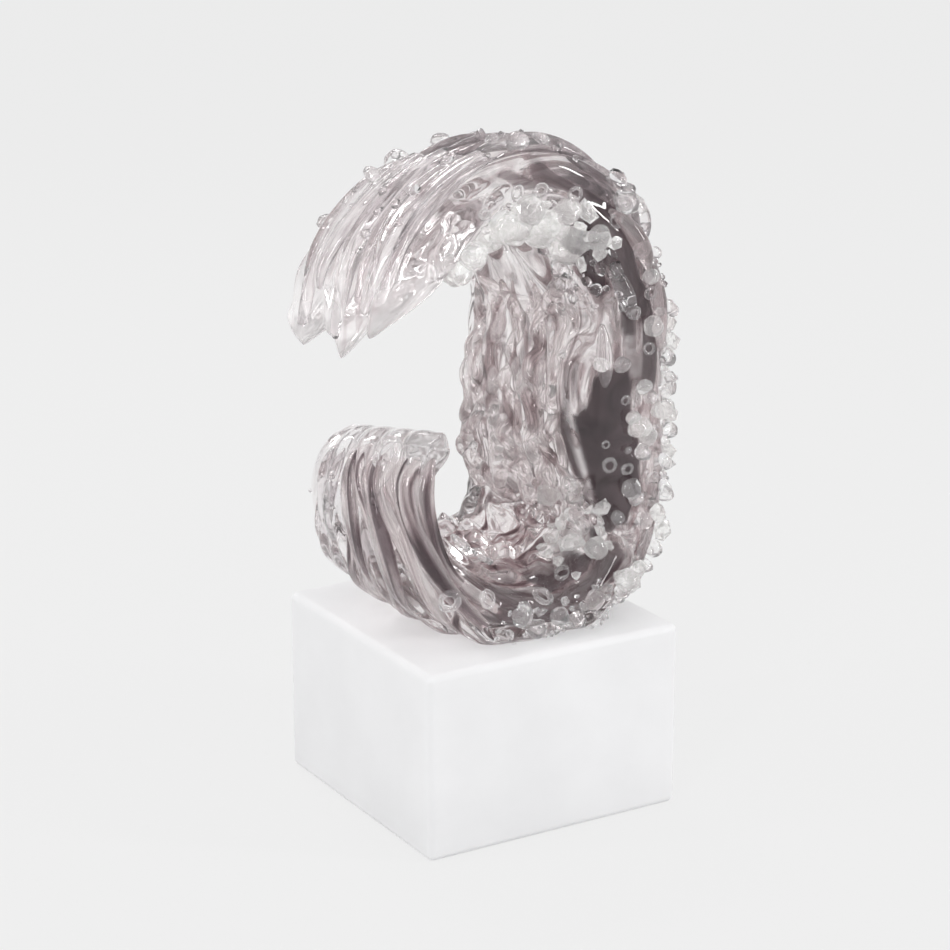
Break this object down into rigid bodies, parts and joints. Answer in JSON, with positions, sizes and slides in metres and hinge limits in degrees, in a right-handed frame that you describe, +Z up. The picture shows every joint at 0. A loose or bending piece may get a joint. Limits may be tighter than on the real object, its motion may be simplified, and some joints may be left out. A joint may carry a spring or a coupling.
{
  "type": "wave sculpture",
  "caption": "Hot-sculpted glass breaking wave, a curled clear sheet over an aubergine core with applied strands, lobes and beads, standing loose on a square opal acrylic plinth.",
  "frame": {"origin": "centre of the plinth's underside", "axes": "+Z up; the crest curls towards -X; the smooth side that shows the dark core faces -Y"},
  "size_m": [0.1866, 0.15, 0.3578],
  "materials": {
    "clear_glass": "fire-polished clear glass with a faint mauve cast",
    "aubergine_glass": "deep aubergine transparent glass, smooth",
    "mauve_glass": "clear glass streaked with mauve, fire-polished",
    "foam_glass": "clear to milky glass beads with small bubbles",
    "opal_acrylic": "solid opal acrylic, satin faces and eased edges"
  },
  "bodies": {
    "plinth": {"plinth_block": "opal_acrylic"},
    "wave": {"wave_casing": "clear_glass", "crest_finger_1": "clear_glass", "crest_finger_2": "clear_glass", "crest_finger_3": "clear_glass", "crest_finger_4": "clear_glass", "crest_finger_5": "clear_glass", "crest_finger_6": "clear_glass", "wave_core": "aubergine_glass", "crest_fold_1": "mauve_glass", "crest_fold_2": "mauve_glass", "crest_fold_3": "mauve_glass", "crest_fold_4": "mauve_glass", "crest_fold_5": "mauve_glass", "crest_fold_6": "mauve_glass", "toe_strand_1": "mauve_glass", "toe_strand_2": "mauve_glass", "toe_strand_3": "mauve_glass", "toe_strand_4": "mauve_glass", "toe_strand_5": "mauve_glass", "toe_strand_6": "mauve_glass", "veil_strand_1": "mauve_glass", "veil_strand_2": "mauve_glass", "veil_strand_3": "mauve_glass", "veil_strand_4": "mauve_glass", "veil_strand_5": "mauve_glass", "lobe_1": "foam_glass", "lobe_2": "foam_glass", "lobe_3": "foam_glass", "lobe_4": "foam_glass", "lobe_5": "foam_glass", "lobe_6": "foam_glass", "foam_cluster_1": "foam_glass", "foam_cluster_2": "foam_glass", "foam_cluster_3": "foam_glass", "foam_cluster_4": "foam_glass", "foam_cluster_5": "foam_glass", "spine_bead_1": "foam_glass", "spine_bead_2": "foam_glass", "spine_bead_3": "foam_glass", "spine_bead_4": "foam_glass", "spine_bead_5": "foam_glass", "spine_bead_6": "foam_glass", "spine_bead_7": "foam_glass", "spine_bead_8": "foam_glass", "foot_bead_1": "foam_glass", "foot_bead_2": "foam_glass", "foot_bead_3": "foam_glass", "foot_bead_4": "foam_glass", "foot_bead_5": "foam_glass", "foot_bead_6": "foam_glass", "face_bead_1": "foam_glass", "face_bead_2": "foam_glass", "face_bead_3": "foam_glass", "crest_bead_1": "foam_glass", "crest_bead_2": "foam_glass", "crest_bead_3": "foam_glass", "crest_bead_4": "foam_glass"}
  },
  "joints": [
    {"name": "wave_lift", "type": "slide", "parent": "plinth", "child": "wave", "axis": [0, 0, 1], "range_m": [0, 0.06]}
  ]
}
